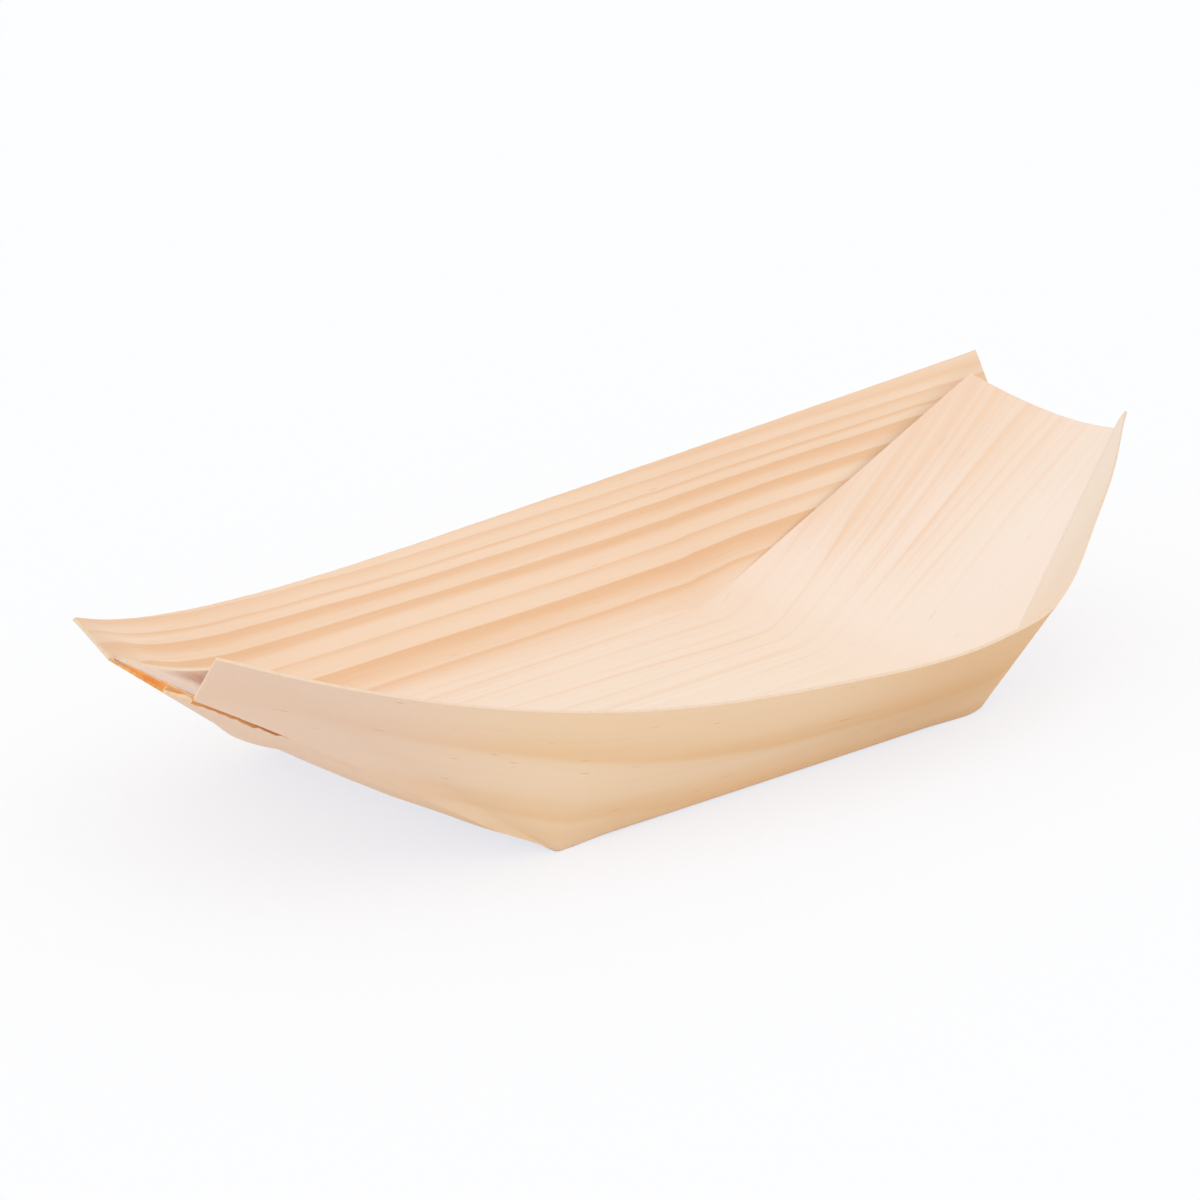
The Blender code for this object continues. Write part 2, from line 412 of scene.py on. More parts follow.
    def ear_line(self, end: EndSide, side: Side, share: Any) -> np.ndarray:
        """A wall's end edge: a parabola from the tip past the panel's corner to the crease behind.

        Args:
            end: Which end.
            side: Which wall.
            share: Place on the edge, from the tip (0) to the crease (1).

        Returns:
            Points on the edge.
        """
        corner = CORNERS[end, side]
        tip, last = np.array(corner.tip), self.crease(end, side, np.array(corner.reach))
        middle = mix((tip + last) / 2, self.hug(end, side, np.array(1.0)), corner.hug_share)
        pull = 2 * middle - (tip + last) / 2
        share = np.asarray(share, float)[..., None]
        return tip * (1 - share) ** 2 + pull * 2 * share * (1 - share) + last * share**2

    def mitre(self, end: EndSide, side: Side, along: np.ndarray) -> np.ndarray:
        """Offset for one thickness that a wall's ear and the fold share along their crease.

        It halves the angle between the two outward directions, lengthened to reach both faces.

        Args:
            end: Which end.
            side: Which wall.
            along: Share of the panel's length.

        Returns:
            One offset for each place.
        """
        other = Side.FRONT if side is Side.REAR else Side.REAR
        ruling = self.crease(end, side, np.array(1.0)) - self.base_corner(end, side)
        coming = np.diff(self.ear_line(end, side, np.array([self.ear_last, 1.0])), axis=0)[0]
        going = self.crease(end, other, along) - self.crease(end, side, along)
        turn = float(end.value * side.value)
        ear = unit(np.cross(ruling, coming)) * turn
        flap = unit(np.cross(np.broadcast_to(ruling, going.shape), going)) * turn
        return (ear + flap) / (1 + np.sum(ear * flap, axis=-1, keepdims=True))


@dataclass
class Sheet:
    """A grid of points on the veneer's inner face with the flat blank's coordinates, in metres.

    Offsets are given directions at some places. The tucked masks name cells of either face that
    lie behind an end, and a torn start gives the first column's edge to them too. Thick is a share
    of the thickness.
    """

    points: np.ndarray
    flat: np.ndarray
    offsets: list[tuple[tuple[Any, Any], np.ndarray]] = field(default_factory=list)
    tucked_inner: np.ndarray | None = None
    tucked_outer: np.ndarray | None = None
    torn_start: bool = False
    thick: Any = 1.0
    sharp_angle: float = math.radians(38)
    merge_step: float = 0.0000005
    least_cell: float = 1e-13

    def outward(self) -> np.ndarray:
        """Directions away from the inner face, square to the grid's finite differences.

        Returns:
            One direction for each point. A collapsed cell takes its next row's.
        """
        normal = np.cross(np.gradient(self.points, axis=0), np.gradient(self.points, axis=1))
        rows = np.arange(normal.shape[1])
        wanted = np.where(np.linalg.norm(normal, axis=-1) > self.least_cell, rows, len(rows) - 1)
        nearest = np.minimum.accumulate(wanted[:, ::-1], axis=1)[:, ::-1]
        outward = unit(normal[np.arange(len(normal))[:, None], nearest])
        for place, given in self.offsets:
            outward[place] = given
        return outward * np.asarray(self.thick, float)[..., None]

    def shell(self, thickness: float) -> tuple[np.ndarray, np.ndarray, np.ndarray]:
        """Closes the sheet: inner grid, outer grid one thickness away, a strip round the border.

        Args:
            thickness: The veneer's thickness.

        Returns:
            Points, four corner numbers for every face, and each face's kind.
        """
        rows, columns = self.points.shape[:2]
        outer = self.points + self.outward() * thickness
        number = np.arange(rows * columns).reshape(rows, columns)
        corners = [number[:-1, :-1], number[:-1, 1:], number[1:, 1:], number[1:, :-1]]
        cells = np.stack(corners, axis=-1).reshape(-1, 4)
        rim = np.concatenate([number[0, :-1], number[:-1, -1], number[-1, :0:-1], number[:0:-1, 0]])
        after = np.roll(rim, -1)
        shift = rows * columns
        border = np.stack([after, rim, rim + shift, after + shift], axis=-1)
        faces = np.concatenate([cells, cells[:, ::-1] + shift, border])
        order = [face.value for face in (Face.INSIDE, Face.OUTSIDE, Face.EDGE)]
        kinds = np.repeat(order, [len(cells), len(cells), len(border)])
        for start, tucked in ((0, self.tucked_inner), (len(cells), self.tucked_outer)):
            if tucked is not None:
                kinds[start : start + len(cells)][tucked.reshape(-1)] = Face.TUCKED.value
        if self.torn_start:
            kinds[1 - rows :] = Face.TUCKED.value
        return np.concatenate([self.points.reshape(-1, 3), outer.reshape(-1, 3)]), faces, kinds

    def object(
        self, name: str, thickness: float, materials: list[bpy.types.Material]
    ) -> bpy.types.Object:
        """Makes the sheet an object, thickened outwards, with its collapsed faces left out.

        Args:
            name: The piece's name.
            thickness: The veneer's thickness.
            materials: Finishes of the inner face, outer face, cut edge and tucked cells.

        Returns:
            The linked object.
        """
        points, quads, kinds = self.shell(thickness)
        triangles = np.concatenate([quads[:, [0, 1, 2]], quads[:, [0, 2, 3]]])
        kinds = np.concatenate([kinds, kinds])
        grid = np.round(points / self.merge_step).astype(np.int64)
        _, first, merged = np.unique(grid, axis=0, return_index=True, return_inverse=True)
        corners = merged.reshape(-1)[triangles]
        real = (corners != np.roll(corners, 1, axis=1)).all(axis=1)
        corners, triangles, kinds = corners[real], triangles[real], kinds[real]
        mesh = bpy.data.meshes.new(name)
        mesh.vertices.add(len(first))
        mesh.vertices.foreach_set("co", points[first].reshape(-1).astype(np.float32))
        mesh.loops.add(corners.size)
        mesh.loops.foreach_set("vertex_index", corners.reshape(-1).astype(np.int32))
        mesh.polygons.add(len(corners))
        mesh.polygons.foreach_set("loop_start", np.arange(0, corners.size, 3, dtype=np.int32))
        for material in materials:
            mesh.materials.append(material)
        mesh.polygons.foreach_set("material_index", kinds.astype(np.int32))
        mesh.update(calc_edges=True)
        flat = np.tile(self.flat.reshape(-1, 2), (2, 1))[triangles.reshape(-1)] / FLAT_UNIT
        uv_map = mesh.uv_layers.new(name=FLAT_MAP).uv
        uv_map.foreach_set("vector", flat.reshape(-1).astype(np.float32))
        mesh.validate()
        mesh.shade_smooth()
        mesh.set_sharp_from_angle(angle=self.sharp_angle)
        return link(name, mesh)


@dataclass
class SideWall:
    """One long wall: rulings over the base, a fan round each base corner, and both end ears."""

    shape: BoatShape
    side: Side
    base_columns: int = 60
    fan_columns: int = 70
    ear_columns: int = 16
    rows: int = 40
    crease_rows: int = 8
    fan_foot_share: float = 0.45
    ease_columns: float = 8.0
    ease_rounds: int = 18
    fade_length: float = 0.012
    lip: float = 0.0004
    rim_wave: float = 0.00004
    calm_power: int = 4
    bow_power: int = 2
    tucked_columns: int = 1
    tucked_spread: float = 6.0
    # Foot of the painted glow on the tucked cells, as a share of the wall's height.
    glow_foot: float = 0.42

    def foot_runs(self, end: EndSide) -> np.ndarray:
        """Distance of every column's foot from the middle, over the base and up its corner's bend.

        Args:
            end: Which end the columns run to.

        Returns:
            Even steps over the base, then even steps up the bend, which end part way round the fan.
        """
        reach = CORNERS[end, self.side].base_reach
        up_bend = np.clip(np.linspace(0, 1, self.fan_columns + 1)[1:] / self.fan_foot_share, 0, 1)
        climb = mix(reach, self.shape.bend(end, self.side.value).leave, up_bend)
        return np.concatenate([np.linspace(0, reach, self.base_columns + 1), climb])

    def half(self, end: EndSide) -> tuple[np.ndarray, np.ndarray]:
        """Half of the wall's inner face, from the middle of the boat to the end's crease.

        Each column leaves the base flat, turns through a fillet of the crease's radius and runs
        straight to the rim. Past the base corner the feet climb the bend, and the ear's columns go
        over from the tip's ruling to the crease behind the end panel.

        Args:
            end: Which end the half runs to.

        Returns:
            Points and flat coordinates, columns first.
        """
        shape, side = self.shape, self.side
        corner = CORNERS[end, side]
        turn = corner.base_reach / abs(corner.tip[0])
        base = np.linspace(0, turn, self.base_columns + 1)
        fan = np.linspace(turn, 1, self.fan_columns + 1)[1:]
        heads = shape.rim(end, side, np.concatenate([base, fan]))
        rim_run = arc_length(heads) * end.value
        feet = shape.floor_point(end, np.full(len(heads), float(side.value)), self.foot_runs(end))
        ear = np.linspace(0, 1, self.ear_columns + 1)[1:]
        ear_heads = shape.ear_line(end, side, ear)
        ear_drop = arc_length(np.concatenate([heads[-1:], ear_heads]))[1:]
        all_feet = np.concatenate([feet, np.broadcast_to(feet[-1], ear_heads.shape)])
        all_heads = self.eased(all_feet, np.concatenate([heads, ear_heads]))
        edge_run = np.concatenate([rim_run, rim_run[-1] + end.value * ear_drop])
        calm = np.concatenate([np.ones(len(heads)), 1 - ear**self.calm_power])
        fray = ragged(edge_run, self.rim_wave) * calm
        all_heads = all_heads + unit(all_heads - all_feet) * fray[:, None]
        up = np.linspace(0, 1, self.rows + 1)
        crease = shape.crease(end, side, shape.stations(end, side, up))
        bow = crease - mix(crease[0], crease[-1], up[:, None])
        bow_share = np.concatenate([np.zeros(len(heads)), ear**self.bow_power])
        points = mix(all_feet[:, None], all_heads[:, None], up[None, :, None])
        points = points + bow * bow_share[:, None, None]
        foot_run = np.minimum(self.foot_runs(end), corner.base_reach) * end.value
        foot_run = np.concatenate([foot_run, np.full(len(ear), foot_run[-1])])
        head_run = np.concatenate([rim_run, np.full(len(ear), rim_run[-1])])
        run = mix(foot_run[:, None], head_run[:, None], up[None])
        full_height = np.full(len(heads), shape.wall_height)
        height = np.concatenate([full_height, shape.wall_height - ear_drop])
        return self.with_crease(end, points, run, height[:, None] * up[None])

    def eased(self, feet: np.ndarray, heads: np.ndarray) -> np.ndarray:
        """Rounds the bend at the tip: the rulings' directions are averaged with their neighbours'.

        Args:
            feet: Lower ends of the rulings.
            heads: Upper ends of the rulings.

        Returns:
            The upper ends at their old distances from the feet. The last one keeps its place.
        """
        reach = np.linalg.norm(heads - feet, axis=-1, keepdims=True)
        way = (heads - feet) / reach
        tip_column = self.base_columns + self.fan_columns
        weight = bell(np.arange(len(heads)), tip_column, self.ease_columns)[1:-1, None] / 2
        for _ in range(self.ease_rounds):
            way[1:-1] += weight * ((way[:-2] + way[2:]) / 2 - way[1:-1])
        return feet + unit(way) * reach

    def fillet(self, end: EndSide) -> np.ndarray:
        """Crease radius for each column of one half: full over the base, none from the bend on.

        Args:
            end: Which end the half runs to.

        Returns:
            One radius for each column.
        """
        start = self.shape.bend(end, self.side.value).start
        radius = self.shape.crease_radius * smooth((start - self.foot_runs(end)) / self.fade_length)
        return np.concatenate([radius, np.zeros(self.ear_columns)])

    def with_crease(
        self, end: EndSide, points: np.ndarray, run: np.ndarray, rise: np.ndarray
    ) -> tuple[np.ndarray, np.ndarray]:
        """Rounds the foot of every column: a flat lip, then an arc tangent to base and ruling.

        Args:
            end: Which end the half runs to.
            points: Straight columns.
            run: Lengthwise flat coordinate of the points.
            rise: Flat height of the points above the crease.

        Returns:
            Points and flat coordinates with the crease's rows in front.
        """
        radius = self.fillet(end)[:, None]
        foot = points[:, 0]
        ruling = unit(points[:, 1] - foot)
        outward = np.array([0.0, float(self.side.value), 0.0])
        cosine = np.clip(ruling @ outward, -1, 1)[:, None]
        angle = np.arccos(cosine)
        upward = unit(ruling - cosine * outward)
        setback = radius * np.tan(angle / 2)
        start = foot - outward * setback
        turn = angle * np.linspace(0, 1, self.crease_rows + 1)[None]
        arc = start[:, None] + outward * (radius * np.sin(turn))[..., None]
        arc = arc + upward[:, None] * (radius * (1 - np.cos(turn)))[..., None]
        brim = self.lip * radius / self.shape.crease_radius
        first = setback / np.linalg.norm(points[:, -1] - foot, axis=-1, keepdims=True)
        index = (first + (1 - first) * np.linspace(0, 1, self.rows + 1)[None, 1:]) * self.rows
        low = np.minimum(index.astype(int), self.rows - 1)
        part = index - low
        column = np.arange(len(points))[:, None]
        body = mix(points[column, low], points[column, low + 1], part[..., None])
        body_run, body_rise = (
            mix(flat[column, low], flat[column, low + 1], part) for flat in (run, rise)
        )
        arc_rise = setback + radius * (turn - angle)
        grid = np.concatenate([(start - outward * brim)[:, None], arc, body], axis=1)
        foot_run = np.repeat(run[:, :1], self.crease_rows + 2, axis=1)
        flat_run = np.concatenate([foot_run, body_run], axis=1)
        flat_rise = np.concatenate([arc_rise[:, :1] - brim, arc_rise, body_rise], axis=1)
        across = self.side.value * (self.shape.base_width / 2 + flat_rise)
        return grid, np.stack([flat_run, across], axis=-1)

    def sheet(self) -> Sheet:
        """The whole wall: both halves joined, with mitres along the creases behind the ends.

        Returns:
            A sheet whose face is turned into the boat.
        """
        left, left_flat = self.half(EndSide.LEFT)
        right, right_flat = self.half(EndSide.RIGHT)
        points = np.concatenate([left[:0:-1], right])
        flat = np.concatenate([left_flat[:0:-1], right_flat])
        shape, side = self.shape, self.side
        up = np.linspace(0, 1, self.rows + 1)[1:]
        mitres = [shape.mitre(end, side, shape.stations(end, side, up)) for end in EndSide]
        if side is Side.REAR:
            points, flat, mitres = points[::-1], flat[::-1], mitres[::-1]
        upper = slice(-self.rows, None)
        offsets = [((column, upper), mitre) for column, mitre in zip((0, -1), mitres)]
        return Sheet(points, flat, offsets, self.tucked(points.shape[:2]))

    def tucked(self, size: tuple[int, int]) -> np.ndarray:
        """Which cells of the inner face are tucked behind an end and take the painted glow.

        Args:
            size: Columns and rows of the wall's points.

        Returns:
            True for columns near an end, fewer higher up, in the band that takes the painted glow.
        """
        ends = list(EndSide) if self.side is Side.FRONT else list(EndSide)[::-1]
        up = (np.arange(size[1] - 1) - self.crease_rows - 1) / self.rows
        column = np.arange(size[0] - 1)[:, None]
        behind = self.tucked_columns + self.tucked_spread * (1 - up)
        tops = (CORNERS[end, self.side].glow_top for end in ends)
        first, last = ((up > self.glow_foot) & (up < top) for top in tops)
        return ((column < behind) & first) | ((size[0] - 2 - column < behind) & last)

    def foot_edge(self, end: EndSide) -> np.ndarray:
        """Where the floor meets this wall's lip over one half of the base."""
        return self.half(end)[0][: self.base_columns + 1, 0]


@dataclass
class FloorPanel:
    """The flat base with both ends bent up out of it."""

    shape: BoatShape
    front: SideWall
    rear: SideWall
    across_steps: int = 72
    bend_steps: int = 24
    end_steps: int = 44
    top_wave: float = 0.00004

    def half(self, end: EndSide) -> tuple[np.ndarray, np.ndarray]:
        """Half of the floor: level to the bend, an arc, then the straight end panel.

        Args:
            end: Which end the half runs to.

        Returns:
            Points and flat coordinates, one row for each lengthwise line.
        """
        shape = self.shape
        share = np.linspace(-1, 1, self.across_steps + 1)
        radius, slope, start, leave = (value[:, None] for value in shape.bend(end, share))
        level = start * np.linspace(0, 1, self.front.base_columns + 1)[None, :-1]
        arc = start + radius * np.sin(slope * np.linspace(0, 1, self.bend_steps + 1)[None, :-1])
        top = shape.panel_top(end, share)
        tops = np.abs(top[:, :1]) + ragged(top[:, 1:2], self.top_wave)
        straight = mix(leave, tops, np.linspace(0, 1, self.end_steps + 1)[None])
        x = np.concatenate([level, arc, straight], axis=1)
        points = shape.floor_point(end, np.broadcast_to(share[:, None], x.shape), x)
        points[..., 1] -= self.lip(end, share, x)
        length = arc_length(points[..., [0, 2]], axis=1)
        return points, np.stack([end.value * length, points[..., 1]], axis=-1)

    def lip(self, end: EndSide, share: np.ndarray, x: np.ndarray) -> np.ndarray:
        """How far the floor stops short of its own edge, so that it meets the walls' creases.

        Args:
            end: Which end.
            share: Place across the boat, -1 to 1, for each line.
            x: Distance from the middle of the boat on each line.

        Returns:
            Each wall's gap, shared out over its half of the width.
        """
        gaps = []
        for wall in (self.front, self.rear):
            edge = np.abs(wall.foot_edge(end))
            gaps.append(np.interp(x, edge[:, 0], self.shape.base_width / 2 - edge[:, 1], right=0.0))
        return np.where(share[:, None] < 0, *gaps) * share[:, None]

    def sheet(self) -> Sheet:
        """The whole floor from the left end's top to the right end's top, both halves joined.

        Returns:
            A sheet that faces up.
        """
        left, left_flat = self.half(EndSide.LEFT)
        right, right_flat = self.half(EndSide.RIGHT)
        points = np.concatenate([left[:, :0:-1], right], axis=1)
        flat = np.concatenate([left_flat[:, :0:-1], right_flat], axis=1)
        return Sheet(points, flat)


@dataclass
class CornerFold:
    """The surplus of one corner, doubled over behind the end panel, with the glue that holds it."""

    shape: BoatShape
    end: EndSide
    side: Side
    split: float = 0.0
    ridge_half: float = 0.0015
    end_drop: float = 0.13
    inner_drop: float = 0.06
    long_steps: int = 64
    wide_steps: int = 18
    turn_steps: int = 12
    start_past: float = 0.052
    clear_edge: float = 0.985
    least_width: float = 0.01
    layer_gap: float = 0.0002
    least_thick: float = 0.05
    glue_span: tuple[float, float] = (0.35, 0.60)
    glue_reach: tuple[float, float] = (0.20, 0.75)
    glue_lift: float = 0.75
    split_start: float = 0.70
    split_length: float = 0.10
    split_wave: float = 0.35
    split_stretch: float = 10.0
    split_depth: float = 0.10
    slack: Stops = ((0.0, 0.0),)
    slack_edge: float = 0.12
    slack_reach: float = 1.5

    def along(self) -> np.ndarray:
        """Stations from above the bend to the top, as a column."""
        first = self.shape.first_along(self.end, self.side) + self.start_past
        return np.linspace(first, CORNERS[self.end, self.side].reach, self.long_steps + 1)[:, None]

    def folded_share(self, along: np.ndarray) -> np.ndarray:
        """Place across the end of the folded edge, straight from base corner to the ridge's top.

        Args:
            along: Share of the panel's length.

        Returns:
            Share of the panel's half width there.
        """
        ridge, base_half = along * (1 - self.end_drop), self.shape.base_width / 2
        front, rear = (CORNERS[self.end, side].panel[1] for side in Side)
        folded = mix(base_half, self.ridge_half, ridge) / mix(base_half, (rear - front) / 2, ridge)
        return np.minimum(folded, self.clear_edge - self.least_width)

    def sheet(self) -> Sheet:
        """Outer layer from the crease to the folded edge, half a turn, and the inner layer back.

        The outer layer lies on straight lines between the two walls' creases, the inner one against
        the end panel. The cut ends of both layers drop, because the fold turns the blank's straight
        end edge down.

        Returns:
            A sheet with the mitre along its crease, where that is whole.
        """
        shape, end, sign = self.shape, self.end, float(self.side.value)
        along, out = self.along(), np.linspace(0, 1, self.wide_steps + 1)[None]
        folded = self.folded_share(along)
        fall = along * (1 - self.end_drop * out)
        outer, _, outer_thick = self.layers(fall, sign * mix(1.0, folded, out))
        back = along * (1 - mix(self.end_drop, self.inner_drop, out))
        _, inner, inner_thick = self.layers(back, sign * mix(folded, self.clear_edge, out))
        first, last = outer[:, -1:], inner[:, :1]
        middle, spread = (first + last) / 2, (first - last) / 2
        reach = np.linalg.norm(spread, axis=-1, keepdims=True)
        turn = np.linspace(0, math.pi, self.turn_steps + 1)[1:-1][None, :, None]
        curl = middle + spread * np.cos(turn) + np.array([0.0, -sign, 0.0]) * reach * np.sin(turn)
        points = np.concatenate([outer, curl, inner], axis=1)
        turn_thick = np.repeat(outer_thick[:, -1:], self.turn_steps - 1, axis=1)
        thick = np.concatenate([outer_thick, turn_thick, inner_thick], axis=1)
        edge = shape.crease(end, self.side, along[:, 0])
        run = end.value * (CORNERS[end, self.side].base_reach + arc_length(edge))[:, None]
        crease_place = shape.base_width / 2 + shape.wall_height / 2 * along
        across = sign * (crease_place - arc_length(points, axis=1))
        flat = np.stack(np.broadcast_arrays(run, across), axis=-1)
        mitre = shape.mitre(end, self.side, along[:, 0])
        whole = along[:, 0] < (self.split_start if self.split else np.inf)
        if end.value * self.side.value < 0:
            grids = (points, flat, mitre, whole, thick)
            points, flat, mitre, whole, thick = (grid[::-1] for grid in grids)
        column = np.arange(points.shape[1] - 1)
        behind = (column > self.wide_steps + self.turn_steps // 2) & (self.split == 0)
        behind = np.broadcast_to(behind, (self.long_steps, len(column)))
        offsets = [((whole, 0), mitre[whole])]
        torn = self.split > 0
        return Sheet(points, flat, offsets, tucked_outer=behind, torn_start=torn, thick=thick)

    def hung(self, along: np.ndarray, share: np.ndarray) -> np.ndarray:
        """The outer layer's face that looks at the end panel.

        It hangs lower by the end's dish, by the split where the crease has torn, and by its slack,
        given at stations along the fold, which sets in next to the crease and fades towards the
        other wall.

        Args:
            along: Share of the panel's length.
            share: Place across the boat, -1 to 1.

        Returns:
            Points on the face.
        """
        shape = self.shape
        front, rear = (shape.crease(self.end, side, along) for side in Side)
        torn = smooth((along - self.split_start) / self.split_length)
        torn = torn * (1 + ragged(along / self.split_stretch, self.split_wave))
        inward = 1 - share * self.side.value
        hang = DISHES[self.end] * along * (1 - share**2)
        hang = hang + self.split * torn * np.exp(-inward / self.split_depth)
        spread = np.clip(1 - inward / self.slack_reach, 0, None)
        spread = (1 - np.exp(-inward / self.slack_edge)) * spread
        hang = hang + np.interp(along, *zip(*self.slack)) * spread
        return shape.across(front, rear, share) + shape.panel_outward(self.end) * hang[..., None]

    def layers(
        self, along: np.ndarray, share: np.ndarray
    ) -> tuple[np.ndarray, np.ndarray, np.ndarray]:
        """The faces of both layers that look at each other.

        Low down, where there is less room behind the panel than the stack needs, both layers taper
        with the room, so that they fill it between the panel and the outer layer's outside.

        Args:
            along: Share of the panel's length.
            share: Place across the boat, -1 to 1.

        Returns:
            Points on the outer and the inner layer, and their share of the veneer's thickness.
        """
        hung, outward = self.hung(along, share), self.shape.panel_outward(self.end)
        room = (hung - self.shape.panel(self.end, along, share)) @ outward
        thick = np.clip(room / self.shape.tight_stack, self.least_thick, 1)
        outer = hung + outward * (self.shape.veneer * (1 - thick))[..., None]
        return outer, outer - outward * (self.layer_gap * thick)[..., None], thick

    def glue(self, film: Film) -> Sheet:
        """A thin smear of glue that follows its layer, away from the fold's own edges.

        Args:
            film: Which of the corner's films.

        Returns:
            A sheet on the end panel or between the fold's own layers.
        """
        along = np.linspace(*self.glue_span, self.long_steps // 2 + 1)[:, None]
        out = np.linspace(*self.glue_reach, self.wide_steps + 1)[None]
        share = self.side.value * mix(self.folded_share(along), self.clear_edge, out)
        lines = np.broadcast_to(along, share.shape)
        outward = self.shape.panel_outward(self.end)
        if film is Film.FOLD:
            points = self.hung(lines, share) - outward * self.layer_gap * self.glue_lift
        else:
            points = self.shape.panel(self.end, lines, share) + outward * self.shape.veneer
        if self.end.value * self.side.value > 0:
            points = points[::-1]
        return Sheet(points, points[..., :2])


def paint(red: int, green: int, blue: int) -> Colour:
    """A screen colour as the linear colour that nodes take, by the usual curve of screens.

    Args:
        red: Red, 0 to 255.
        green: Green, 0 to 255.
        blue: Blue, 0 to 255.

    Returns:
        Linear red, green and blue, and 1 for full cover.
    """
    shares = np.array([red, green, blue]) / 255
    linear = np.where(shares <= 0.04045, shares / 12.92, ((shares + 0.055) / 1.055) ** 2.4)
    return (float(linear[0]), float(linear[1]), float(linear[2]), 1.0)


class Step(NamedTuple):
    """A smooth change: one level up to a low place, another from a high place on."""

    low: float
    high: float
    start: float = 0.0
    end: float = 1.0


class Waves(NamedTuple):
    """Noise: how often it changes in 100 mm along and across the grain, its seed and its detail."""

    along: float
    across: float
    seed: float
    detail: float = 2.0


class Streaks(NamedTuple):
    """Streaks along the grain: how many in 100 mm, their wander, their shift and their share."""

    rate: float
    sway: float
    shift: float
    share: float


class Value:
    """One output socket that Python arithmetic goes on from; every operation adds a Math node."""

    def __init__(self, graph: "Graph", socket: bpy.types.NodeSocket) -> None:
        """Keeps the socket and the graph that it is in."""
        self.graph, self.socket = graph, socket

    def math(self, operation: str, other: Any = 0.0, swap: bool = False) -> "Value":
        """A Math node on this value and another, the other one first if they are swapped."""
        first, second = (other, self) if swap else (self, other)
        return self.graph.node("ShaderNodeMath", {"operation": operation}, {0: first, 1: second})

    def __add__(self, other: Any) -> "Value":
        """Sum."""
        return self.math("ADD", other)

    def __sub__(self, other: Any) -> "Value":
        """Difference."""
        return self.math("SUBTRACT", other)

    def __rsub__(self, other: Any) -> "Value":
        """Difference, with this value taken away."""
        return self.math("SUBTRACT", other, swap=True)

    def __mul__(self, other: Any) -> "Value":
        """Product."""
        return self.math("MULTIPLY", other)

    def __truediv__(self, other: Any) -> "Value":
        """Quotient."""
        return self.math("DIVIDE", other)

    def __abs__(self) -> "Value":
        """Size without sign."""
        return self.math("ABSOLUTE")

    __radd__, __rmul__ = __add__, __mul__


class Graph:
    """The node tree of a material or a world, emptied, to which nodes are added by one method."""

    def __init__(self, owner: Any) -> None:
        """Takes over the owner's tree.

        Args:
            owner: A material or a world.
        """
        owner.use_nodes = True
        self.tree = owner.node_tree
        self.tree.nodes.clear()

    def node(
        self, kind: str, settings: dict[str, Any], sockets: dict[Any, Any], output: Any = 0
    ) -> Any:
        """Adds one node.

        Args:
            kind: The node's type.
            settings: Its properties, set first; "stops" holds a ramp's places and greys.
            sockets: A number, colour or Value for each input, by name or number.
            output: Which output to go on from.

        Returns:
            That output as a Value, or None for a node without outputs.
        """
        node = self.tree.nodes.new(kind)
        for name, setting in settings.items():
            if name == "stops":
                self.set_stops(node.color_ramp, setting)
            else:
                setattr(node, name, setting)
        for key, value in sockets.items():
            if isinstance(value, Value):
                self.tree.links.new(value.socket, node.inputs[key])
            else:
                node.inputs[key].default_value = value
        return Value(self, node.outputs[output]) if len(node.outputs) else None

    @staticmethod
    def set_stops(ramp: bpy.types.ColorRamp, stops: Stops) -> None:
        """Gives a ramp its grey stops.

        Args:
            ramp: A new ramp, with its two first stops.
            stops: Place and grey of each stop.
        """
        ramp.elements.remove(ramp.elements[-1])
        ramp.elements[0].position = stops[0][0]
        ramp.elements[0].color = (*[stops[0][1]] * 3, 1.0)
        for place, grey in stops[1:]:
            ramp.elements.new(place).color = (grey, grey, grey, 1.0)

    def rise(self, value: Value, step: Step) -> Value:
        """A smooth step between two levels."""
        sockets = {"Value": value, **dict(zip(("From Min", "From Max", "To Min", "To Max"), step))}
        return self.node("ShaderNodeMapRange", {"interpolation_type": "SMOOTHSTEP"}, sockets)

    def ramp(self, value: Value, stops: Stops) -> Value:
        """A grey read off a row of stops."""
        return self.node("ShaderNodeValToRGB", {"stops": stops}, {0: value})

    def blend(self, share: Any, first: Any, second: Any) -> Value:
        """A colour between two; a Mix node takes colours at 6 and 7 and gives one at 2."""
        return self.node("ShaderNodeMix", {"data_type": "RGBA"}, {0: share, 6: first, 7: second}, 2)


